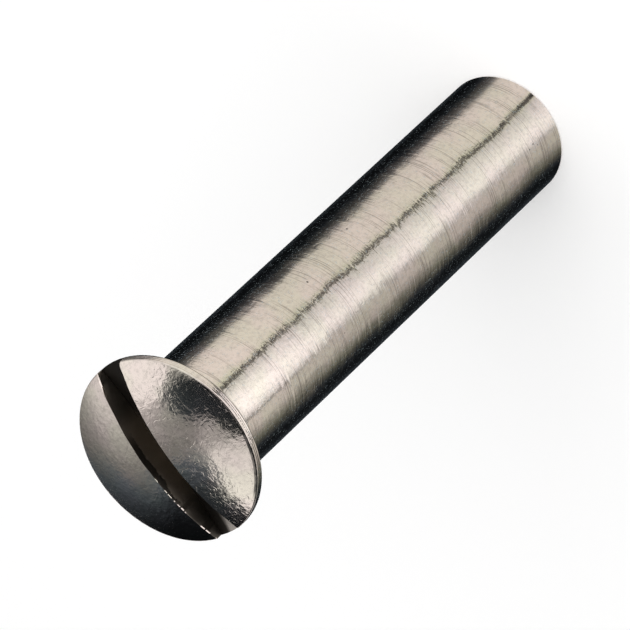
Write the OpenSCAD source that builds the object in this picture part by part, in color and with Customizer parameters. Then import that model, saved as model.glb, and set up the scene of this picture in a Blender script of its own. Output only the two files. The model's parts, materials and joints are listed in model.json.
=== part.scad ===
// Sleeve nut: a long plain sleeve, threaded inside, under a thin raised countersunk head
// with one straight screwdriver slot. It is turned from one bar, so it is one solid.
// Millimetres. Origin at the centre of the open end, +Z along the sleeve to the head.
// The slot runs along Y. The bore is the drilled hole before its thread is cut.

/* [Sleeve] */
// Outside diameter of the sleeve
sleeve_d = 8; // [7:0.1:9]
// Length from the open end to the upper edge of the head's rim
rim_top_z = 39.3; // [34:0.1:60]
// Rounding of the outer edge at the open end
end_round = 0.2; // [0.05:0.05:0.4]

/* [Head] */
// Diameter of the head
head_d = 11.8; // [10:0.1:14]
// Height of the straight rim around the head
rim_h = 0.5; // [0.3:0.05:1]
// Height of the dome above the rim
dome_h = 1.3; // [0.8:0.1:2]
// Full angle of the countersunk underside
sink_angle = 90; // [70:5:110]

/* [Slot] */
// Width of the screwdriver slot
slot_w = 1.8; // [1:0.1:2.4]
// Depth of the slot below the top of the dome
slot_depth = 1.75; // [1:0.05:2.2]

/* [Bore] */
// Diameter of the hole drilled for the thread
bore_d = 5; // [3:0.1:6]
// Depth of the hole's straight wall
bore_depth = 30; // [15:0.5:30]
// Diameter of the chamfer at the mouth
mouth_d = 6.6; // [6.2:0.1:6.8]
// Full angle of the drill's point
drill_angle = 118; // [90:1:140]

/* [Hidden] */
$fn = 180;
sleeve_r = sleeve_d / 2;
head_r = head_d / 2;
bore_r = bore_d / 2;
mouth_r = mouth_d / 2;
rim_bottom_z = rim_top_z - rim_h;
// Height of the countersunk cone between the sleeve and the rim
sink_h = (head_r - sleeve_r) / tan(sink_angle / 2);
// Radius of the ball that the dome is a cap of
dome_r = (head_r * head_r + dome_h * dome_h) / (2 * dome_h);
top_z = rim_top_z + dome_h;
slot_floor_z = top_z - slot_depth;
// The mouth's chamfer is cut at 45 degrees
mouth_h = mouth_r - bore_r;
point_h = bore_r / tan(drill_angle / 2);
// How far a cut runs past the surface it opens
over = 0.5;

// Half section of the sleeve, with the outer edge of the open end rounded
module sleeve_section() {
    square([sleeve_r - end_round, rim_bottom_z]);
    translate([0, end_round])
        square([sleeve_r, rim_bottom_z - end_round]);
    translate([sleeve_r - end_round, end_round])
        circle(r = end_round, $fn = 48);
}

module sleeve() {
    rotate_extrude()
        sleeve_section();
}

// Countersunk cone and straight rim
module head_base() {
    translate([0, 0, rim_bottom_z - sink_h])
        cylinder(r1 = sleeve_r, r2 = head_r, h = sink_h);
    translate([0, 0, rim_bottom_z])
        cylinder(r = head_r, h = rim_h);
}

// Low cap of a large ball that sits on the rim
module head_dome() {
    intersection() {
        translate([0, 0, top_z - dome_r])
            sphere(r = dome_r);
        translate([0, 0, rim_top_z - rim_h / 2])
            cylinder(r = head_r, h = dome_h + rim_h);
    }
}

// Straight slot that leaves the head at both ends
module slot_cut() {
    translate([-slot_w / 2, -head_r - over, slot_floor_z])
        cube([slot_w, head_d + 2 * over, slot_depth + over]);
}

// Blind hole with the point left by the drill and a chamfered mouth
module bore_cut() {
    translate([0, 0, -over])
        cylinder(r = bore_r, h = bore_depth + over);
    translate([0, 0, bore_depth])
        cylinder(r1 = bore_r, r2 = 0, h = point_h);
    translate([0, 0, -over])
        cylinder(r1 = mouth_r + over, r2 = bore_r, h = mouth_h + over);
}

module sleeve_nut() {
    color([0.76, 0.74, 0.71])
        difference() {
            union() {
                sleeve();
                head_base();
                head_dome();
            }
            slot_cut();
            bore_cut();
        }
}

sleeve_nut();
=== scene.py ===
"""Sleeve nut: a nickel-plated turned sleeve with an internal thread and a slotted raised head.

The nut stands on its open end on a plain pale floor, head up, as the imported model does.
Everything is in metres, in the model's own frame: +Z along the sleeve, Y along the slot.
"""
import json
import math

import bmesh
import bpy
from mathutils import Matrix, Vector, noise

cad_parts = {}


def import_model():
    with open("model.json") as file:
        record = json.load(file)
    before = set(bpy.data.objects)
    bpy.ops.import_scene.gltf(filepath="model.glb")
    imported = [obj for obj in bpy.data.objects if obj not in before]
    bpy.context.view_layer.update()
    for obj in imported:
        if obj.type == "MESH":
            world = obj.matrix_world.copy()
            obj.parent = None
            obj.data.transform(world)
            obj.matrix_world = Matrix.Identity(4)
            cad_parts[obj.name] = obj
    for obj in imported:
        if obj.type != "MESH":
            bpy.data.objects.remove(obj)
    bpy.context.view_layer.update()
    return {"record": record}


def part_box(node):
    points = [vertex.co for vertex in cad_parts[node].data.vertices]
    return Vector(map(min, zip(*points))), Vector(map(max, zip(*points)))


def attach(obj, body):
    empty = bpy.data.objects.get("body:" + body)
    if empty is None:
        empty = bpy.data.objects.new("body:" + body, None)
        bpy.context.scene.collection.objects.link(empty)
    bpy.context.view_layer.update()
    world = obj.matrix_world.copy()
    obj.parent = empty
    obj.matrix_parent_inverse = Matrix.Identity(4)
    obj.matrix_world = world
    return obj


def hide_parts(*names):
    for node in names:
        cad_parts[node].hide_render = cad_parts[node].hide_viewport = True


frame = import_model()

MM = 0.001
NODE = "sleeve_nut"
MOUNTS = {mount["name"]: mount for mount in frame["record"]["mounts"]}

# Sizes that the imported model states
HEAD_R = min(-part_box(NODE)[0].x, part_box(NODE)[1].y)
TOP_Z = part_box(NODE)[1].z
SLEEVE_R = MOUNTS["sleeve_outside"]["dims"]["r_mm"] * MM
BORE_R = MOUNTS["thread"]["dims"]["r_mm"] * MM
RIM_BOTTOM_Z = MOUNTS["countersunk_seat"]["pos_m"][2]
SLOT_FLOOR_Z = MOUNTS["driver_slot"]["pos_m"][2]

# Head
RIM_H = 0.5 * MM
RIM_TOP_Z = RIM_BOTTOM_Z + RIM_H
DOME_H = TOP_Z - RIM_TOP_Z
DOME_R = (HEAD_R ** 2 + DOME_H ** 2) / (2 * DOME_H)
EDGE_BREAK = 0.14 * MM
LOW_BREAK = 0.07 * MM
RIM_MARKS = (0.35 * MM, 0.21 * MM)
RIM_MARK_W = 0.05 * MM
RIM_MARK_DEPTH = 0.02 * MM
SINK_H = HEAD_R - SLEEVE_R
NECK_FILLET = 0.3 * MM

# Slot
SLOT_W = 1.8 * MM
SLOT_STEP = 0.1 * MM
SLOT_SAG = 0.22 * MM
CORNER_R = 0.35 * MM
SMALL_CORNER_R = 0.1 * MM
ROUGH_WAVE = 0.9 * MM
FINE_WAVE = 0.25 * MM

# Open end and thread
END_ROUND = 0.2 * MM
MOUTH_R = 3.3 * MM
BORE_DEPTH = 30 * MM
DRILL_HALF_ANGLE = math.radians(59)
PITCH = 1.0 * MM
THREAD_DEPTH = 0.5 * MM
THREAD_END = 27 * MM
RUN_OUT = 1.5 * MM

# Pits on the sleeve, where the photo shows them: azimuth in degrees, height above the open end,
# and radius
PITS = [
    (-146.0, 25.4 * MM, 0.08 * MM),
    (-134.5, 19.5 * MM, 0.07 * MM),
    (-156.5, 8.0 * MM, 0.05 * MM),
    (160.0, 25.8 * MM, 0.05 * MM),
    (167.0, 2.9 * MM, 0.07 * MM),
    (165.5, 3.4 * MM, 0.05 * MM),
    (163.5, 2.5 * MM, 0.05 * MM),
]

# Mesh density, how close two points may lie, and from how many degrees an edge stays sharp
SEGMENTS = 144
DOME_RINGS = 44
WELD = 0.001 * MM
SHARP_ANGLE = 32
# Rows of the thread in one turn: its edges, and the middles of its flats and flanks
TURN_ROWS = (0.0, 0.125, 0.28125, 0.4375, 0.5, 0.5625, 0.71875, 0.875)

# Camera
CAMERA_AZIMUTH = -79.4
CAMERA_ELEVATION = 46.26
CAMERA_ROLL = 133.22
CAMERA_DISTANCE = 366 * MM
CAMERA_AIM = Vector((-8.03, -1.397, 31.507)) * MM
CAMERA_LENS = 371.4


# ---------------------------------------------------------------- geometry

def direction(azimuth, elevation):
    """Unit vector; azimuth in degrees from +X towards +Y."""
    a = math.radians(azimuth)
    e = math.radians(elevation)
    return Vector((math.cos(a) * math.cos(e), math.sin(a) * math.cos(e), math.sin(e)))


def between(value, low, high):
    """0 below low, 1 above high, smooth between."""
    t = min(max((value - low) / (high - low), 0.0), 1.0)
    return t * t * (3 - 2 * t)


def arc(centre_r, centre_z, radius, start, end, count):
    """Points of a round stretch of the section, with angles in degrees from +r towards +z."""
    points = []
    for i in range(count + 1):
        angle = math.radians(start + (end - start) * i / count)
        points.append((centre_r + radius * math.cos(angle), centre_z + radius * math.sin(angle)))
    return points


def dome_z(radius):
    """Height of the dome's surface at a distance from the axis."""
    return TOP_Z - DOME_R + math.sqrt(max(DOME_R ** 2 - radius ** 2, 0.0))


def rim_mark(height):
    """Section of a fine turned line on the rim."""
    z = RIM_BOTTOM_Z + height
    half = RIM_MARK_W / 2
    return [(HEAD_R, z + half), (HEAD_R - RIM_MARK_DEPTH, z), (HEAD_R, z - half)]


def outer_section():
    """Half section of the outside, from beside the dome's top to the open end's flat face."""
    flat_r = HEAD_R - EDGE_BREAK
    dome = []
    for i in range(1, DOME_RINGS):
        radius = flat_r * i / DOME_RINGS
        dome.append((radius, dome_z(radius)))
    tilt = math.asin(HEAD_R / DOME_R)
    edge_z = dome_z(HEAD_R) + EDGE_BREAK * (math.tan(tilt) - 1 / math.cos(tilt))
    rim_top = arc(flat_r, edge_z, EDGE_BREAK, 90 - math.degrees(tilt), 0, count=7)
    rim = [point for height in RIM_MARKS for point in rim_mark(height)]
    low_r = HEAD_R - LOW_BREAK
    rim_bottom = arc(low_r, RIM_BOTTOM_Z + LOW_BREAK, LOW_BREAK, 0, -45, count=4)
    neck_z = RIM_BOTTOM_Z - SINK_H
    reach = NECK_FILLET * math.tan(math.radians(22.5))
    neck = arc(SLEEVE_R + NECK_FILLET, neck_z - reach, NECK_FILLET, 135, 180, count=6)
    end = arc(SLEEVE_R - END_ROUND, END_ROUND, END_ROUND, 0, -90, count=8)
    return dome + rim_top + rim + rim_bottom + neck + end


def thread_form(turn):
    """Depth of the thread, 0 at its crest to 1 at its root, over one turn from 0 to 1."""
    from_root = abs((turn % 1.0) - 0.5)
    crest_edge = 0.375
    root_edge = 0.0625
    return min(max((crest_edge - from_root) / (crest_edge - root_edge), 0.0), 1.0)


def bore_radius(angle, z):
    """Radius of the bore's wall: mouth chamfer, then thread, then the plain drilled end."""
    fade = min(max((THREAD_END - z) / RUN_OUT, 0.0), 1.0)
    turn = z / PITCH - angle / (2 * math.pi)
    wall = BORE_R + THREAD_DEPTH * fade * thread_form(turn)
    return max(wall, MOUTH_R - z)


def add_ring(mesh, radius_at, z):
    """One closed ring of vertices."""
    ring = []
    for i in range(SEGMENTS):
        angle = 2 * math.pi * i / SEGMENTS
        radius = radius_at(angle, z)
        ring.append(mesh.verts.new((radius * math.cos(angle), radius * math.sin(angle), z)))
    return ring


def join_rings(mesh, upper, lower):
    """Quads between two rings, facing outwards where the second ring lies below the first."""
    for i in range(SEGMENTS):
        j = (i + 1) % SEGMENTS
        mesh.faces.new((upper[i], lower[i], lower[j], upper[j]))


def thread_column(mesh, i, rows):
    """One upright line of points on the threaded wall; rows that fall together share a point."""
    angle = 2 * math.pi * i / SEGMENTS
    column = []
    for row in rows:
        z = min(max((row - 1 + i / SEGMENTS) * PITCH, 0.0), THREAD_END)
        if column and abs(column[-1].co.z - z) < WELD:
            column.append(column[-1])
            continue
        radius = bore_radius(angle, z)
        column.append(mesh.verts.new((radius * math.cos(angle), radius * math.sin(angle), z)))
    return column


def add_thread(mesh):
    """The threaded wall, in rows that follow the thread; gives its first and last rings."""
    turns = round(THREAD_END / PITCH) + 2
    rows = [turn + part for turn in range(turns) for part in TURN_ROWS]
    columns = [thread_column(mesh, i, rows) for i in range(SEGMENTS)]
    for i in range(SEGMENTS):
        near = columns[i]
        far = columns[(i + 1) % SEGMENTS]
        shift = len(TURN_ROWS) if i == SEGMENTS - 1 else 0
        for r in range(len(rows) - 1 - shift):
            corners = (near[r], far[r + shift], far[r + 1 + shift], near[r + 1])
            face = list(dict.fromkeys(corners))
            if len(face) > 2:
                mesh.faces.new(face)
    return [column[0] for column in columns], [column[-1] for column in columns]


def turned_body():
    """The nut before its slot is cut: outside, open end, threaded bore and drill point."""
    mesh = bmesh.new()
    rings = [add_ring(mesh, lambda angle, z, r=r: r, z) for r, z in outer_section()]
    mouth, thread_top = add_thread(mesh)
    bore_top = add_ring(mesh, bore_radius, BORE_DEPTH)
    for upper, lower in zip(rings, rings[1:] + [mouth]):
        join_rings(mesh, upper, lower)
    join_rings(mesh, thread_top, bore_top)
    top = mesh.verts.new((0, 0, TOP_Z))
    tip = mesh.verts.new((0, 0, BORE_DEPTH + BORE_R / math.tan(DRILL_HALF_ANGLE)))
    for i in range(SEGMENTS):
        j = (i + 1) % SEGMENTS
        mesh.faces.new((top, rings[0][i], rings[0][j]))
        mesh.faces.new((tip, bore_top[j], bore_top[i]))
    bmesh.ops.recalc_face_normals(mesh, faces=mesh.faces)
    return mesh


def lip(side, y):
    """How a lip of the slot is broken at y: how far down its wall and how far out on the dome."""
    rough = noise.noise(Vector((side * 7.0, y / ROUGH_WAVE, 0.0)))
    fine = noise.noise(Vector((side * 3.0, y / FINE_WAVE, 5.0)))
    if side < 0:
        drop = 0.10 + 0.04 * rough
        out = 0.05 + 0.05 * rough + 0.02 * fine
        return drop * MM, out * MM
    burr = 1 - between(y, -5.4 * MM, -3.4 * MM) + between(y, 0.4 * MM, 1.0 * MM)
    large = 0.03 * (1 - between(y, -3.0 * MM, 0.0))
    burr_drop = 0.09 + large
    burr_out = 0.05 + 0.015 * rough + large
    torn_drop = 0.2 + 0.1 * rough + 0.06 * fine
    torn_out = 0.015 + 0.02 * rough + 0.02 * fine
    drop = torn_drop + (burr_drop - torn_drop) * burr
    out = torn_out + (burr_out - torn_out) * burr
    return drop * MM, max(out, 0.0) * MM


def flare(side, y):
    """How much wider the slot gets where its corner is rounded at the rim."""
    if side < 0 and y > 0:
        return 0.0
    radius = CORNER_R if side < 0 else SMALL_CORNER_R
    end = math.sqrt(HEAD_R ** 2 - (SLOT_W / 2) ** 2)
    t = min(max((abs(y) - end + radius) / radius, 0.0), 1.0)
    return radius * (1 - math.sqrt(1 - t * t))


def torn_back(side, y):
    """How far the slot's +X wall is torn back towards -Y, where the cutter broke through."""
    if side < 0:
        return 0.0
    tear = 0.07 * (1 - between(y, -0.3 * MM, 0.5 * MM))
    end_tear = 0.04 * (1 - between(y, -4.5 * MM, -3.3 * MM))
    return (tear + end_tear) * MM


def slot_floor(y):
    """Height of the slot's floor, which the round cutter leaves a little deeper in the middle."""
    return SLOT_FLOOR_Z - SLOT_SAG * (1 - min(abs(y) / HEAD_R, 1.0) ** 5)


def slot_section(y):
    """The cutter's section at y, going round from the floor's -X corner."""
    surface = dome_z(min(abs(y), HEAD_R))
    half = {side: SLOT_W / 2 + flare(side, y) + torn_back(side, y) for side in (-1, 1)}
    wall = {}
    for side in (-1, 1):
        drop, out = lip(side, y)
        low = Vector((side * half[side], surface - drop))
        high = Vector((side * (half[side] + out), surface))
        wall[side] = (low, high + (high - low) * 2)
    above = TOP_Z + MM
    points = [(-half[-1], slot_floor(y)), (half[1], slot_floor(y)), wall[1][0], wall[1][1]]
    points += [(wall[1][1][0], above), (wall[-1][1][0], above), wall[-1][1], wall[-1][0]]
    return [(x, y, z) for x, z in points]


def slot_cutter():
    """Solid that is taken away for the slot, with uneven lips."""
    mesh = bmesh.new()
    reach = HEAD_R + 0.5 * MM
    count = round(2 * reach / SLOT_STEP)
    sections = []
    for i in range(count + 1):
        sections.append([mesh.verts.new(p) for p in slot_section(-reach + 2 * reach * i / count)])
    for near, far in zip(sections, sections[1:]):
        for i in range(len(near)):
            j = (i + 1) % len(near)
            mesh.faces.new((near[i], near[j], far[j], far[i]))
    mesh.faces.new(sections[0][::-1])
    mesh.faces.new(sections[-1])
    bmesh.ops.recalc_face_normals(mesh, faces=mesh.faces)
    return mesh


def as_object(name, mesh):
    """Turns a bmesh into an object in the scene."""
    data = bpy.data.meshes.new(name)
    mesh.to_mesh(data)
    mesh.free()
    piece = bpy.data.objects.new(name, data)
    bpy.context.scene.collection.objects.link(piece)
    return piece


def cut(piece, cutter):
    """Takes the cutter away from the piece for good."""
    modifier = piece.modifiers.new("cut", "BOOLEAN")
    modifier.operation = "DIFFERENCE"
    modifier.solver = "EXACT"
    modifier.object = cutter
    evaluated = piece.evaluated_get(bpy.context.evaluated_depsgraph_get())
    piece.data = bpy.data.meshes.new_from_object(evaluated)
    piece.modifiers.clear()
    bpy.data.objects.remove(cutter)


def clean_and_smooth(piece):
    """Joins points that nearly meet, drops spare ones, and smooths all but the sharp edges."""
    mesh = bmesh.new()
    mesh.from_mesh(piece.data)
    bmesh.ops.remove_doubles(mesh, verts=mesh.verts, dist=WELD)
    spare = [vertex for vertex in mesh.verts if len(vertex.link_edges) == 2]
    bmesh.ops.dissolve_verts(mesh, verts=spare)
    for face in mesh.faces:
        face.smooth = True
    limit = math.radians(SHARP_ANGLE)
    for edge in mesh.edges:
        edge.smooth = len(edge.link_faces) == 2 and edge.calc_face_angle() < limit
    mesh.to_mesh(piece.data)
    mesh.free()


# ---------------------------------------------------------------- materials

# Plated metal: its colours
ROSY_NICKEL = (0.815, 0.71, 0.655, 1)
OLIVE_NICKEL = (0.775, 0.715, 0.615, 1)
SPOT = (0.5, 0.45, 0.41, 1)
TURNED_LINE = (0.3, 0.26, 0.23, 1)
HOLE = (0.04, 0.036, 0.033, 1)
# Painted shade in the crease under the rim, and a painted dark reflection on one edge of the dome
PAINTED_DARK_EDGE = (0.02, 0.02, 0.02, 1)
DULL_NICKEL = (0.58, 0.67, 0.72, 1)

# Plated metal: depths of its marks
DENT_DEPTH = 0.013 * MM
GRAIN_DEPTH = 0.0009 * MM
HAIR_DEPTH = 0.002 * MM
NICK_DEPTH = 0.0014 * MM
HOLE_DEPTH = 0.03 * MM

# Cut metal: its colours, each from one to the other, and the depth of its marks
BROWN = ((0.42, 0.365, 0.305, 1), (0.31, 0.265, 0.22, 1))
# Painted shade: the slot's floor and the ends of its walls
SLOT_SHADE = ((0.09, 0.08, 0.07, 1), (0.05, 0.045, 0.04, 1))
DUSKY = ((0.27, 0.235, 0.19, 1), (0.18, 0.155, 0.125, 1))
# Colours of the unplated bore, also used for painted light at one end of the slot's floor
PALE = ((0.74, 0.67, 0.61, 1), (0.62, 0.57, 0.52, 1))
# Very dark colour of the painted shade in a band under the slot's lip
LIP_SHADE = (0.03, 0.027, 0.025, 1)
CUTTER_DEPTH = 0.004 * MM


class Nodes:
    """Short calls for building a node tree."""

    def __init__(self, tree):
        self.tree = tree
        tree.nodes.clear()

    def add(self, kind, inputs=None, **settings):
        """A node, with its inputs by name or number: sockets are linked, plain values set."""
        node = self.tree.nodes.new("ShaderNode" + kind)
        for key, value in settings.items():
            setattr(node, key, value)
        for key, value in (inputs or {}).items():
            if isinstance(value, bpy.types.NodeSocket):
                self.tree.links.new(value, node.inputs[key])
            else:
                node.inputs[key].default_value = value
        return node

    def math(self, operation, *values):
        return self.add("Math", dict(enumerate(values)), operation=operation).outputs[0]

    def plus(self, a, b):
        return self.math("ADD", a, b)

    def minus(self, a, b):
        return self.math("SUBTRACT", a, b)

    def times(self, a, b):
        return self.math("MULTIPLY", a, b)

    def larger(self, a, b):
        return self.math("MAXIMUM", a, b)

    def absolute(self, value):
        return self.math("ABSOLUTE", value)

    def inverse(self, value):
        """1 for 0, and 0 for 1."""
        return self.math("SUBTRACT", 1.0, value)

    def vector(self, operation, *values):
        return self.add("VectorMath", dict(enumerate(values)), operation=operation).outputs[0]

    def split(self, vector):
        return self.add("SeparateXYZ", {0: vector}).outputs

    def combine(self, x, y, z):
        return self.add("CombineXYZ", {0: x, 1: y, 2: z}).outputs[0]

    def mix(self, factor, a, b):
        node = self.add("Mix", {0: factor, 6: a, 7: b}, data_type="RGBA")
        return node.outputs[2]

    def ramp(self, value, low, high):
        """0 at low to 1 at high, smoothly."""
        node = self.add("MapRange", {0: value, 1: low, 2: high}, interpolation_type="SMOOTHSTEP")
        return node.outputs[0]

    def stretch(self, value, start, full, fall, end):
        """1 from full to fall, 0 before start and after end."""
        return self.times(self.ramp(value, start, full), self.inverse(self.ramp(value, fall, end)))

    def noise(self, vector, scale=1.0, detail=2.0, roughness=0.5):
        inputs = {"Vector": vector, "Scale": scale, "Detail": detail, "Roughness": roughness}
        return self.add("TexNoise", inputs).outputs["Fac"]

    def uneven(self, vector, scale=1.0, detail=2.0, roughness=0.5):
        """Noise to both sides of 0."""
        return self.minus(self.noise(vector, scale, detail, roughness), 0.5)

    def bump(self, height, distance, normal=None):
        """The normal after a bump of a height from 0 to 1 and a distance in metres."""
        inputs = {"Height": height, "Strength": 1.0, "Distance": distance}
        if normal is not None:
            inputs["Normal"] = normal
        return self.add("Bump", inputs).outputs[0]

    def metal(self, tint, roughness, normal):
        inputs = {"Base Color": tint, "Metallic": 1.0, "Roughness": roughness, "Normal": normal}
        return self.add("BsdfPrincipled", inputs).outputs[0]


def new_material(name):
    material = bpy.data.materials.new(name)
    material.use_nodes = True
    return material, Nodes(material.node_tree)


def from_axis(nodes, x, y):
    """Distance from the nut's axis."""
    return nodes.math("SQRT", nodes.plus(nodes.times(x, x), nodes.times(y, y)))


def round_marks(nodes, place, around, along):
    """Coordinates for marks that run round the axis: fine along the section, coarse around it."""
    x, y, z = nodes.split(place)
    run = nodes.minus(z, from_axis(nodes, x, y))
    return nodes.combine(nodes.times(x, around), nodes.times(y, around), nodes.times(run, along))


def tilt_round(nodes, place, swing):
    """The surface normal swung to and fro round the axis, by a small angle in radians."""
    x, y, _ = nodes.split(place)
    sideways = nodes.vector("NORMALIZE", nodes.combine(nodes.times(y, -1.0), x, 0.0))
    push = nodes.add("VectorMath", {0: sideways, "Scale": swing}, operation="SCALE").outputs[0]
    normal = nodes.add("NewGeometry").outputs["Normal"]
    return nodes.vector("NORMALIZE", nodes.vector("ADD", normal, push))


def hatch(nodes, place, around, along, amount):
    """Swing of short marks that run round the axis: mostly slight, now and then strong."""
    height = nodes.uneven(round_marks(nodes, place, around, along), detail=3.0, roughness=0.6)
    strong = nodes.times(nodes.absolute(height), 8.0)
    return nodes.times(nodes.times(height, strong), amount)


def pores(nodes, place, scale, size, share):
    """1 at the middle of small scattered holes, 0 elsewhere."""
    cells = nodes.add("TexVoronoi", {"Vector": place, "Scale": scale, "Randomness": 1.0})
    hole = nodes.inverse(nodes.ramp(cells.outputs["Distance"], size * 0.5, size))
    chosen = nodes.add("SeparateColor", {0: cells.outputs["Color"]}).outputs[0]
    return nodes.times(hole, nodes.math("LESS_THAN", chosen, share))


def pits(nodes, place):
    """1 at the pits on the sleeve, 0 elsewhere."""
    depth = 0.0
    for azimuth, height, radius in PITS:
        middle = direction(azimuth, 0) * SLEEVE_R + Vector((0, 0, height))
        away = nodes.add("VectorMath", {0: place, 1: middle}, operation="DISTANCE").outputs["Value"]
        pit = nodes.inverse(nodes.ramp(away, radius * 0.5, radius))
        depth = nodes.larger(depth, pit)
    return depth


def scratches(nodes, place, scale, width):
    """1 along short curved hairlines, 0 elsewhere."""
    away = nodes.absolute(nodes.uneven(place, scale, detail=1.0))
    line = nodes.inverse(nodes.ramp(away, 0.0, width))
    kept = nodes.ramp(nodes.noise(place, scale * 2.6, detail=1.0), 0.52, 0.6)
    return nodes.times(line, kept)


def straight_scratches(nodes, place, angle):
    """1 along short straight marks that run at an angle across the axis, 0 elsewhere."""
    spun = nodes.add("VectorRotate", {"Vector": place, "Angle": angle}, rotation_type="Z_AXIS")
    drawn = nodes.vector("MULTIPLY", spun.outputs[0], (700.0, 3400.0, 1500.0))
    return scratches(nodes, drawn, scale=1.0, width=0.045)


def crease(nodes, value, middle, half_width):
    """1 where a height or radius is in the middle of a narrow crease."""
    away = nodes.absolute(nodes.minus(value, middle))
    return nodes.inverse(nodes.ramp(away, half_width * 0.6, half_width))


def hairlines(nodes, place):
    """Curved hairlines, deeper beside the slot, where the dome is rubbed."""
    x = nodes.split(place)[0]
    long = scratches(nodes, place, scale=520.0, width=0.014)
    short = scratches(nodes, place, scale=1350.0, width=0.035)
    half = nodes.ramp(x, 1.0 * MM, -1.0 * MM)
    rubbed = nodes.times(half, nodes.ramp(x, -3.9 * MM, -2.9 * MM))
    return nodes.times(nodes.larger(long, short), nodes.plus(nodes.times(rubbed, 0.8), 1.0))


def nicks(nodes, place):
    """Straight marks in three directions, deeper on the half of the nut that has seen more wear."""
    x = nodes.split(place)[0]
    marks = 0.0
    for angle in (0.3, 1.35, 2.4):
        marks = nodes.larger(marks, straight_scratches(nodes, place, angle))
    half = nodes.ramp(x, 1.0 * MM, -1.0 * MM)
    return nodes.times(marks, nodes.plus(nodes.times(half, 0.75), 0.25))


def turning_lines(nodes, place, turned):
    """1 on the fine dark lines left by turning, which come in groups."""
    thin = nodes.noise(round_marks(nodes, place, around=260.0, along=12000.0))
    groups = nodes.noise(round_marks(nodes, place, around=200.0, along=1100.0))
    lines = nodes.times(nodes.ramp(thin, 0.54, 0.63), nodes.ramp(groups, 0.42, 0.56))
    return nodes.times(lines, turned)


def sleeve_swing(nodes, place, turned):
    """Swing of the sleeve's surface: hatch, strokes and slow waves, calmer near the head."""
    z = nodes.split(place)[2]
    coarse = hatch(nodes, place, around=480.0, along=8500.0, amount=0.19)
    fine = hatch(nodes, place, around=1500.0, along=15000.0, amount=0.045)
    stroke = nodes.noise(round_marks(nodes, place, around=330.0, along=8000.0), roughness=0.55)
    strokes = nodes.times(nodes.ramp(stroke, 0.58, 0.74), 0.11)
    drawn = nodes.vector("MULTIPLY", place, (1700.0, 1700.0, 260.0))
    drift = nodes.times(nodes.uneven(drawn), 0.15)
    wander = nodes.times(nodes.uneven(place, scale=520.0), 0.105)
    marks = nodes.plus(nodes.plus(coarse, fine), strokes)
    waves = nodes.plus(drift, wander)
    calm = nodes.inverse(nodes.times(nodes.ramp(z, 31.0 * MM, 35.0 * MM), 0.6))
    return nodes.times(nodes.plus(marks, waves), nodes.times(turned, calm))


def plated_normal(nodes, place, turned, cloud, holes):
    """The plated surface with all its marks."""
    patches = nodes.plus(nodes.times(nodes.ramp(cloud, 0.35, 0.65), 0.6), 0.4)
    strength = nodes.times(patches, nodes.minus(1.2, nodes.times(turned, 0.7)))
    dents = nodes.times(nodes.noise(place, scale=3200.0), strength)
    grain = nodes.noise(place, scale=13000.0, roughness=0.6)
    normal = tilt_round(nodes, place, sleeve_swing(nodes, place, turned))
    normal = nodes.bump(dents, DENT_DEPTH, normal)
    normal = nodes.bump(grain, GRAIN_DEPTH, normal)
    normal = nodes.bump(hairlines(nodes, place), -HAIR_DEPTH, normal)
    normal = nodes.bump(nicks(nodes, place), -NICK_DEPTH, normal)
    return nodes.bump(holes, -HOLE_DEPTH, normal)


def painted_dark_edges(nodes, place, turned, cloud):
    """1 in the crease under the rim, as painted shade, and 1 on one side's edge of the dome, as a
    painted dark reflection.
    """
    x, y, z = nodes.split(place)
    radius = from_axis(nodes, x, y)
    outside = nodes.math("GREATER_THAN", radius, HEAD_R - LOW_BREAK * 2.6)
    # Painted shade: a dark crease under the rim
    under = nodes.times(crease(nodes, z, RIM_BOTTOM_Z, 0.095 * MM), outside)
    beyond = nodes.inverse(nodes.ramp(x, -3.9 * MM, -3.2 * MM))
    side = nodes.times(beyond, nodes.ramp(y, -2.9 * MM, -1.9 * MM))
    # Painted reflection: a dark edge between dome and rim on one side, patchy in strength
    painted_patches = nodes.plus(nodes.times(nodes.ramp(cloud, 0.35, 0.6), 0.4), 0.6)
    edge = crease(nodes, radius, HEAD_R - 0.11 * MM, 0.09 * MM)
    edge = nodes.times(edge, nodes.times(side, painted_patches))
    return under, nodes.times(edge, nodes.inverse(turned))


def plated_tint(nodes, place, turned, cloud, holes):
    """Warm nickel that varies slowly, with darker spots, turning lines, holes, and painted dark
    edges.
    """
    hue = nodes.noise(place, scale=420.0)
    mottle = nodes.noise(place, scale=4000.0, detail=3.0, roughness=0.62)
    under, edge = painted_dark_edges(nodes, place, turned, cloud)
    lines = turning_lines(nodes, place, turned)
    tint = nodes.mix(nodes.ramp(hue, 0.35, 0.65), ROSY_NICKEL, OLIVE_NICKEL)
    tint = nodes.mix(nodes.times(nodes.ramp(mottle, 0.42, 0.75), 0.55), tint, SPOT)
    tint = nodes.mix(nodes.times(lines, 0.62), tint, TURNED_LINE)
    tint = nodes.mix(nodes.times(holes, 0.9), tint, HOLE)
    # Painted shade in the crease under the rim
    tint = nodes.mix(nodes.times(under, 0.93), tint, PAINTED_DARK_EDGE)
    # Painted dark reflection on one side's edge of the dome
    return nodes.mix(nodes.times(edge, 0.92), tint, PAINTED_DARK_EDGE)


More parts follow.
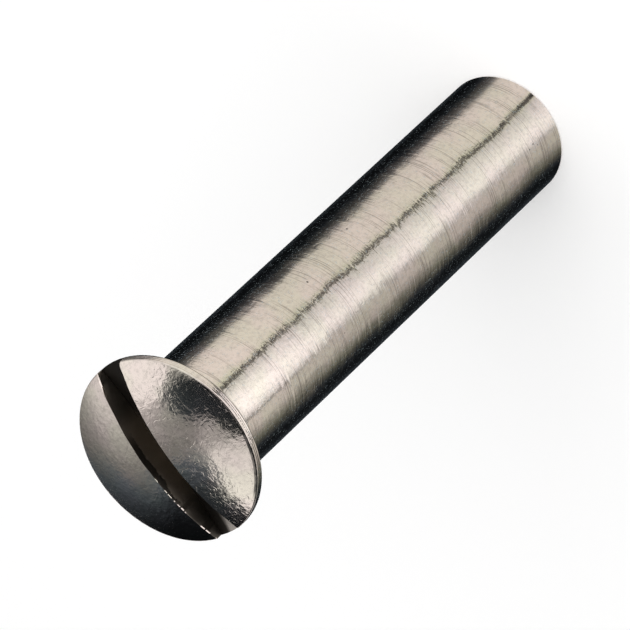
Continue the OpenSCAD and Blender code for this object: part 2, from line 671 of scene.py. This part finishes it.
def plated_metal():
    """Bright nickel over turned steel, tumbled: lines, hatch, small dents, scratches and pores."""
    material, nodes = new_material("nickel_plated_steel")
    place = nodes.add("TexCoord").outputs["Object"]
    z = nodes.split(place)[2]
    # 1 on the sleeve and the rim, 0 on the dome
    turned = nodes.inverse(nodes.ramp(z, RIM_TOP_Z - 0.08 * MM, RIM_TOP_Z - 0.03 * MM))
    cloud = nodes.noise(place, scale=700.0, detail=3.0, roughness=0.6)
    small = pores(nodes, place, scale=700.0, size=0.075, share=0.07)
    holes = nodes.larger(small, pits(nodes, place))
    normal = plated_normal(nodes, place, turned, cloud, holes)
    tint = plated_tint(nodes, place, turned, cloud, holes)
    rough = nodes.plus(nodes.times(cloud, 0.06), nodes.minus(0.09, nodes.times(turned, 0.04)))
    specks = nodes.ramp(nodes.noise(place, scale=6500.0, roughness=0.6), 0.55, 0.72)
    haze = nodes.times(specks, nodes.plus(nodes.times(turned, 0.34), 0.03))
    bright = nodes.metal(tint, rough, normal)
    dull = nodes.metal(DULL_NICKEL, 0.5, normal)
    shader = nodes.add("MixShader", {0: haze, 1: bright, 2: dull})
    nodes.add("OutputMaterial", {"Surface": shader.outputs[0]})
    return material


def painted_lip_shade(nodes, place, marks):
    """1 on a ragged band of painted shade just under the dome's surface, on the slot's walls, 0
    elsewhere.
    """
    x, y, z = nodes.split(place)
    square = nodes.plus(nodes.times(x, x), nodes.times(y, y))
    rise = nodes.math("SQRT", nodes.minus(DOME_R ** 2, square))
    below = nodes.minus(nodes.plus(rise, TOP_Z - DOME_R), z)
    ragged = nodes.plus(below, nodes.times(nodes.minus(marks, 0.5), 0.45 * MM))
    wide = nodes.stretch(y, -3.5 * MM, -2.6 * MM, 1.2 * MM, 2.2 * MM)
    ragged = nodes.minus(ragged, nodes.times(wide, 0.27 * MM))
    # Painted shade in a ragged band under the lip
    torn = nodes.inverse(nodes.ramp(ragged, 0.17 * MM, 0.25 * MM))
    middle = nodes.stretch(y, -2.6 * MM, -1.0 * MM, 2.4 * MM, 3.6 * MM)
    return nodes.times(torn, middle)


def slot_tint(nodes, place, marks, cloud, bottom):
    """Brown walls, darker to both ends of the slot, and a black floor, dusky in the middle: the
    darkening is painted shade.
    """
    y = nodes.split(place)[1]
    black = nodes.mix(cloud, *SLOT_SHADE)
    # Painted shade: a ragged, nearly black band under the lip
    torn = nodes.times(painted_lip_shade(nodes, place, marks), 0.85)
    wall = nodes.mix(torn, nodes.mix(cloud, *BROWN), LIP_SHADE)
    # Painted shade that darkens the walls towards both ends of the slot
    far_end = nodes.times(nodes.ramp(y, 2.4 * MM, 4.4 * MM), 0.85)
    near_end = nodes.times(nodes.ramp(y, -2.0 * MM, -3.6 * MM), 0.5)
    wall = nodes.mix(nodes.larger(far_end, near_end), wall, black)
    # Painted shade that darkens the floor towards both ends, leaving its middle dusky
    centre = nodes.inverse(nodes.ramp(nodes.absolute(y), 1.5 * MM, 3.2 * MM))
    floor_tint = nodes.mix(centre, black, nodes.mix(cloud, *DUSKY))
    return nodes.mix(bottom, wall, floor_tint)


def cut_metal():
    """Tarnished metal in the slot, dark with painted shade; unplated metal in the bore; painted light
    at one end of the slot.
    """
    material, nodes = new_material("milled_steel")
    place = nodes.add("TexCoord").outputs["Object"]
    x, y, z = nodes.split(place)
    marks = nodes.noise(place, scale=5200.0, detail=3.0, roughness=0.6)
    cloud = nodes.noise(place, scale=900.0, detail=3.0, roughness=0.6)
    level = nodes.split(nodes.add("NewGeometry").outputs["True Normal"])[2]
    bottom = nodes.math("GREATER_THAN", level, 0.5)
    # Painted light: a pale, smoother patch at the +Y end of the slot's floor, on its -X half
    end = nodes.ramp(y, 4.3 * MM, 4.9 * MM)
    painted_patches = nodes.times(end, nodes.inverse(nodes.ramp(x, 0.0, 0.35 * MM)))
    bore = nodes.math("LESS_THAN", z, SLOT_FLOOR_Z - 0.4 * MM)
    bare_and_painted_light = nodes.larger(nodes.times(bottom, painted_patches), bore)
    tint = slot_tint(nodes, place, marks, cloud, bottom)
    tint = nodes.mix(bare_and_painted_light, tint, nodes.mix(cloud, *PALE))
    rough = nodes.plus(nodes.times(marks, 0.15), nodes.minus(0.38, nodes.times(bare_and_painted_light, 0.2)))
    shader = nodes.metal(tint, rough, nodes.bump(marks, CUTTER_DEPTH))
    nodes.add("OutputMaterial", {"Surface": shader})
    return material


# Telling the faces apart: how near is near enough, how far out torn walls lie, how steep they are
NEAR = 0.02 * MM
WALL_REACH = 0.15 * MM
STEEP = 0.92


def in_slot(face):
    """True for the slot's floor and walls, and not for the bright burrs on its lips."""
    point = face.center
    between_walls = abs(point.x) < SLOT_W / 2 + NEAR
    on_wall = abs(point.x) < SLOT_W / 2 + WALL_REACH and abs(face.normal.x) > STEEP
    return (between_walls or on_wall) and point.z > SLOT_FLOOR_Z - SLOT_SAG - NEAR


def in_bore(face):
    """True for the bore's wall, thread and drilled end."""
    point = face.center
    inside = math.hypot(point.x, point.y) < BORE_R + THREAD_DEPTH + NEAR
    return inside and 0.3 * MM < point.z < RIM_BOTTOM_Z - MM


def finish_faces(piece):
    """Plated outside, cut metal in the slot and the bore."""
    piece.data.materials.clear()
    piece.data.materials.append(plated_metal())
    piece.data.materials.append(cut_metal())
    for face in piece.data.polygons:
        face.material_index = 1 if in_slot(face) or in_bore(face) else 0


def sleeve_nut():
    """The whole part, as one piece."""
    piece = as_object("sleeve_nut_turned", turned_body())
    cut(piece, as_object("slot_cutter", slot_cutter()))
    clean_and_smooth(piece)
    finish_faces(piece)
    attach(piece, "root")
    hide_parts(NODE)


# ---------------------------------------------------------------- stage and light

# Hues of the cards
NEUTRAL = (1.0, 1.0, 1.0)
COOL = (0.8, 1.0, 1.2)
WARM = (1.03, 1.0, 0.94)
OLIVE = (0.98, 1.0, 0.86)

# The floor's half width in metres, the share of white that is its own, and its colour
FLOOR_HALF = 2.0
FLOOR_OWN_WHITE = 0.29
FLOOR_COLOUR = (0.75, 0.75, 0.75, 1)
# Strength of the world's light on the object; the eye sees it white
WORLD_LIGHT = 0.4

# The cards' levels below are not free choices. They follow the photo's mean brightness where the
# metal mirrors them, as scratch programs printed it, divided by the metal's own brightness,
# rounded by hand and adjusted after renders.

# Brightness of the strips that the sleeve mirrors, by the angle round the sleeve from its middle
STRIPS = [
    (-88, 0.03, COOL), (-79, 0.026, COOL), (-73, 0.010, COOL), (-64, 0.007, COOL),
    (-58, 0.026, COOL), (-52, 0.088, OLIVE), (-47, 0.20, OLIVE), (-42, 0.35, WARM),
    (-36, 0.52, WARM), (-30, 0.55, WARM), (-26, 0.60, NEUTRAL), (-22.5, 0.92, NEUTRAL),
    (-19, 1.07, NEUTRAL), (-14, 1.12, NEUTRAL), (-9, 1.02, NEUTRAL), (-4, 0.90, NEUTRAL),
    (1, 0.78, NEUTRAL), (4, 0.70, NEUTRAL), (7, 0.66, OLIVE), (11, 0.70, OLIVE),
    (14, 0.77, WARM), (20, 0.81, WARM), (32, 0.77, WARM), (38, 0.73, WARM),
    (41.5, 0.64, WARM), (44, 0.40, WARM), (46.5, 0.19, NEUTRAL), (50, 0.095, NEUTRAL),
    (54, 0.048, NEUTRAL), (58, 0.022, COOL), (62, 0.010, COOL), (66, 0.005, COOL),
    (74, 0.004, COOL), (80, 0.02, COOL), (88, 0.02, COOL),
]
STRIP_STEP = 0.5
STRIP_LIFT = 0.05 * MM
# Distances of the rows of the strips from the sleeve, in millimetres
STRIP_ROWS = (0.0, 0.7, 1.3, 2.1, 2.9, 4.0, 22.0, 30.0, 42.0, 60.0, 170.0, 200.0)
# The dark line in them, also measured in the photo, by row: the angle of its middle, and its level
LINE = {
    0.0: (9.2, 0.03),
    0.7: (8.7, 0.14),
    1.3: (9.1, 0.05),
    2.1: (7.9, 0.30),
    2.9: (8.9, 0.08),
    4.0: (8.2, 0.15),
    22.0: (7.7, 0.17),
    30.0: (7.2, 0.13),
    42.0: (5.2, 0.03),
}
LINE_FAR = (5.2, 0.03)
LINE_HALF = (1.3, 2.7)
# Rows between these distances, which the sleeve's upper third mirrors, are brighter: most of all
# in one band of angles, but darker in a thin line
UPPER_ROWS = (25, 50)
UPPER_BOOST = 1.1
BAND = (-40, 0)
BAND_BOOST = 1.25
THIN_LINE = -28
THIN_LINE_HALF = 1.2
THIN_LINE_BOOST = 0.6
# Rows beyond this distance rise to this level towards their sides, between these angles
FAR_ROW = 50
FAR_SIDES = (50, 62)
FAR_LEVEL = 0.6

# Brightness of the screen behind the head: its azimuths, then (elevation, levels) from low to high
SCREEN_AZIMUTHS = (-100, -75, -40, -21, -12, -3, 8, 19, 26, 40, 70, 120)
SCREEN_ROWS = [
    (-11, (0.30, 0.30, 0.30, 0.25, 0.20, 0.11, 0.04, 0.008, 0.003, 0.004, 0.01, 0.10)),
    (5, (0.40, 0.40, 0.40, 0.32, 0.24, 0.15, 0.07, 0.012, 0.003, 0.004, 0.01, 0.10)),
    (15, (0.60, 0.60, 0.60, 0.48, 0.33, 0.23, 0.12, 0.035, 0.005, 0.004, 0.01, 0.10)),
    (25, (0.70, 0.75, 0.85, 0.76, 0.55, 0.38, 0.20, 0.08, 0.012, 0.006, 0.01, 0.15)),
    (35, (0.70, 0.75, 0.85, 0.80, 0.62, 0.45, 0.25, 0.13, 0.035, 0.025, 0.02, 0.20)),
    (45, (0.60, 0.70, 0.70, 0.60, 0.48, 0.36, 0.24, 0.13, 0.05, 0.03, 0.05, 0.20)),
    (57, (0.50, 0.60, 0.60, 0.50, 0.36, 0.40, 0.18, 0.23, 0.12, 0.10, 0.20, 0.30)),
    (68, (0.30, 0.40, 0.45, 0.33, 0.42, 0.22, 0.31, 0.19, 0.33, 0.40, 0.50, 0.40)),
    (78, (0.20, 0.20, 0.20, 0.20, 0.20, 0.20, 0.24, 0.30, 0.35, 0.40, 0.40, 0.30)),
    (89, (0.20, 0.20, 0.20, 0.20, 0.20, 0.20, 0.20, 0.20, 0.20, 0.20, 0.20, 0.20)),
]
SCREEN_DISTANCE = 0.22
SCREEN_COOL_BELOW = 0.15

# The dark card overhead: its corners in degrees from straight up along X and Y, and their levels
ZENITH_PLACES = [
    (-16, 24), (-4, 23), (2, 14), (5, 5), (12, 0), (24, -7), (23, -20), (8, -25), (-12, -22),
]
ZENITH_LEVELS = [0.012, 0.012, 0.012, 0.02, 0.04, 0.06, 0.05, 0.02, 0.012]


def overhead(x, y):
    """Azimuth and elevation of a place in the sky, in degrees from straight up along X and Y."""
    return math.degrees(math.atan2(y, x)), 90 - math.hypot(x, y)


def shade(level, hue):
    """Colour of a hue at a level of brightness."""
    return tuple(level * part for part in hue)


def seen_by_eye(nodes):
    """1 for rays that come from the camera, or from it by way of metal or glass."""
    path = nodes.add("LightPath").outputs
    seen = nodes.larger(path["Is Camera Ray"], path["Is Glossy Ray"])
    return nodes.larger(seen, path["Is Transmission Ray"])


def floor():
    """Plain white floor: part of its white is its own, so the soft shadow stays on it."""
    mesh = bmesh.new()
    signs = [(-1, -1), (1, -1), (1, 1), (-1, 1)]
    mesh.faces.new([mesh.verts.new((x * FLOOR_HALF, y * FLOOR_HALF, 0)) for x, y in signs])
    piece = as_object("floor", mesh)
    material, nodes = new_material("floor_white")
    strength = nodes.times(seen_by_eye(nodes), FLOOR_OWN_WHITE)
    own = nodes.add("Emission", {"Color": (1, 1, 1, 1), "Strength": strength})
    lit = nodes.add("BsdfDiffuse", {"Color": FLOOR_COLOUR})
    both = nodes.add("AddShader", {0: own.outputs[0], 1: lit.outputs[0]})
    nodes.add("OutputMaterial", {"Surface": both.outputs[0]})
    piece.data.materials.append(material)


def reflection_only(piece):
    """A card that only shows in the metal."""
    piece.visible_camera = False
    piece.visible_diffuse = False
    piece.visible_shadow = False
    piece.visible_transmission = False
    piece.visible_volume_scatter = False


def glow_card(name, points, faces):
    """Card from (place, colour, solid) points and faces: it glows, and fades where solid is 0."""
    mesh = bmesh.new()
    glow = mesh.verts.layers.float_color.new("glow")
    solid = mesh.verts.layers.float.new("solid")
    verts = []
    for place, colour, weight in points:
        vertex = mesh.verts.new(place)
        vertex[glow] = (*colour, 1.0)
        vertex[solid] = weight
        verts.append(vertex)
    for face in faces:
        mesh.faces.new([verts[i] for i in face])
    piece = as_object(name, mesh)
    material, nodes = new_material(name)
    colour = nodes.add("Attribute", attribute_name="glow").outputs["Color"]
    weight = nodes.add("Attribute", attribute_name="solid").outputs["Fac"]
    light = nodes.add("Emission", {"Color": colour, "Strength": 1.0})
    clear = nodes.add("BsdfTransparent")
    mixed = nodes.add("MixShader", {0: weight, 1: clear.outputs[0], 2: light.outputs[0]})
    nodes.add("OutputMaterial", {"Surface": mixed.outputs[0]})
    piece.data.materials.append(material)
    reflection_only(piece)


def grid_faces(lines, length):
    """Faces of a grid whose points come line after line, each line of the same length."""
    faces = []
    for line in range(lines - 1):
        for step in range(length - 1):
            i = line * length + step
            faces.append((i, i + 1, i + length + 1, i + length))
    return faces


def flat_card(name, corners, levels, distance, feather, hue=NEUTRAL):
    """Flat card round the head, with corners at (azimuth, elevation) and a soft share at its edge."""
    rays = [direction(*corner) for corner in corners]
    middle = sum(rays, Vector()).normalized()
    top = Vector((0, 0, TOP_Z))
    colours = [shade(level, hue) for level in levels]
    count = len(rays)
    outer = [ray * (distance / ray.dot(middle)) for ray in rays]
    inner = [place.lerp(middle * distance, feather) for place in outer]
    points = [(top + place, colour, 0.0) for place, colour in zip(outer, colours)]
    points += [(top + place, colour, 1.0) for place, colour in zip(inner, colours)]
    points.append((top + middle * distance, shade(sum(levels) / count, hue), 1.0))
    faces = []
    for i in range(count):
        j = (i + 1) % count
        faces.append((i, j, count + j, count + i))
        faces.append((count + i, count + j, 2 * count))
    glow_card(name, points, faces)


def head_screen():
    """Curved screen behind the head, clear along its sides and top."""
    top = Vector((0, 0, TOP_Z))
    points = []
    last = len(SCREEN_AZIMUTHS) - 1
    for elevation, levels in SCREEN_ROWS:
        for column, azimuth in enumerate(SCREEN_AZIMUTHS):
            clear = column in (0, last) or elevation == SCREEN_ROWS[-1][0]
            level = levels[column]
            hue = COOL if level < SCREEN_COOL_BELOW else NEUTRAL
            place = top + direction(azimuth, elevation) * SCREEN_DISTANCE
            points.append((place, shade(level, hue), 0.0 if clear else 1.0))
    glow_card("screen", points, grid_faces(len(SCREEN_ROWS), len(SCREEN_AZIMUTHS)))


def strip_colour(angle):
    """Colour of the strips at an angle, from the entries on both sides of it."""
    for (low, a, hue_a), (high, b, hue_b) in zip(STRIPS, STRIPS[1:]):
        if low <= angle <= high:
            t = (angle - low) / (high - low)
            return Vector(shade(a, hue_a)).lerp(Vector(shade(b, hue_b)), t)
    return Vector(shade(STRIPS[-1][1], COOL))


def upper_boost(angle):
    """How much brighter the strips are where the sleeve's upper third mirrors them."""
    if abs(angle - THIN_LINE) < THIN_LINE_HALF:
        return THIN_LINE_BOOST
    return BAND_BOOST if BAND[0] < angle < BAND[1] else UPPER_BOOST


def strip_tone(angle, row):
    """Colour of one place on the strips."""
    tone = strip_colour(angle)
    if UPPER_ROWS[0] < row < UPPER_ROWS[1]:
        tone = tone * upper_boost(angle)
    middle, level = LINE.get(row, LINE_FAR)
    tone = Vector(shade(level, WARM)).lerp(tone, between(abs(angle - middle), *LINE_HALF))
    if row > FAR_ROW:
        far = between(abs(angle), *FAR_SIDES) * FAR_LEVEL
        tone = Vector([max(part, far) for part in tone])
    return tone


def low_strips():
    """Strips on the floor round the foot, each along the way that one line of the sleeve mirrors."""
    points = []
    first = STRIPS[0][0]
    count = round((STRIPS[-1][0] - first) / STRIP_STEP)
    facing = CAMERA_AZIMUTH - 90
    for i in range(count + 1):
        angle = first + STRIP_STEP * i
        for row in STRIP_ROWS:
            place = direction(facing + angle, 0) * SLEEVE_R
            place += direction(facing + 2 * angle, 0) * row * MM
            place.z = STRIP_LIFT
            solid = 0.0 if row == STRIP_ROWS[-1] else 1.0
            points.append((place, strip_tone(angle, row), solid))
    glow_card("low_strips", points, grid_faces(count + 1, len(STRIP_ROWS)))


def head_cards():
    """The graded screens and windows that the head mirrors, placed and levelled after the photo."""
    head_screen()
    corners = [(100, 66), (70, 22), (64, 22), (51, 46), (36, 70), (62, 75)]
    levels = [0.86, 1.16, 1.16, 1.16, 0.90, 0.72]
    flat_card("left_window", corners, levels, distance=0.2, feather=0.22)
    corners = [(-67, 64), (-36, 66), (-17, 50), (-30, 24), (-84, 38)]
    flat_card("right_window", corners, [1.05] * 5, distance=0.2, feather=0.2)
    corners = [overhead(x, y) for x, y in ZENITH_PLACES]
    flat_card("zenith_flag", corners, ZENITH_LEVELS, distance=0.19, hue=COOL, feather=0.33)
    corners = [(78, 0), (78, 40), (130, 62), (200, 68), (200, 0)]
    flat_card("near_flag", corners, [0.02] * 5, distance=0.2, hue=COOL, feather=0.08)
    corners = [(138, -2), (138, 24), (206, 27), (206, 2)]
    flat_card("burr_window", corners, [1.3] * 4, distance=0.18, feather=0.12)
    corners = [(205, 12), (205, 66), (285, 66), (285, 12)]
    flat_card("far_window", corners, [0.95] * 4, distance=0.22, feather=0.2)


def world():
    """Even light all round: grey on the object, white to the eye, also by way of metal."""
    scene_world = bpy.data.worlds.new("studio")
    scene_world.use_nodes = True
    bpy.context.scene.world = scene_world
    nodes = Nodes(scene_world.node_tree)
    level = nodes.plus(WORLD_LIGHT, nodes.times(seen_by_eye(nodes), 1 - WORLD_LIGHT))
    sky = nodes.add("Background", {"Color": (1, 1, 1, 1), "Strength": level})
    nodes.add("OutputWorld", {"Surface": sky.outputs[0]})


def soft_lamp(name, azimuth, elevation, distance, size, power):
    """Large soft lamp for the floor, kept out of the mirror-like metal."""
    data = bpy.data.lights.new(name, "AREA")
    data.size = size
    data.energy = power
    lamp = bpy.data.objects.new(name, data)
    bpy.context.scene.collection.objects.link(lamp)
    towards = direction(azimuth, elevation)
    lamp.location = towards * distance
    lamp.rotation_mode = "QUATERNION"
    lamp.rotation_quaternion = towards.to_track_quat("Z", "Y")
    lamp.visible_glossy = False


def light():
    """The world, one lamp, and the cards that the metal mirrors."""
    world()
    soft_lamp("top_lamp", azimuth=-150, elevation=70, distance=0.6, size=0.6, power=3.0)
    low_strips()
    head_cards()


def camera():
    """At the photograph's viewing angle."""
    data = bpy.data.cameras.new("camera")
    data.lens = CAMERA_LENS
    data.sensor_width = 36.0
    eye = bpy.data.objects.new("camera", data)
    bpy.context.scene.collection.objects.link(eye)
    bpy.context.scene.camera = eye
    back = direction(CAMERA_AZIMUTH - 90, CAMERA_ELEVATION)
    level = back.to_track_quat("Z", "Y")
    roll = Matrix.Rotation(math.radians(-CAMERA_ROLL), 3, "Z").to_quaternion()
    eye.rotation_mode = "QUATERNION"
    eye.rotation_quaternion = level @ roll
    eye.location = CAMERA_AIM + back * CAMERA_DISTANCE


bpy.context.scene.view_settings.view_transform = "Standard"
camera()
sleeve_nut()
floor()
light()
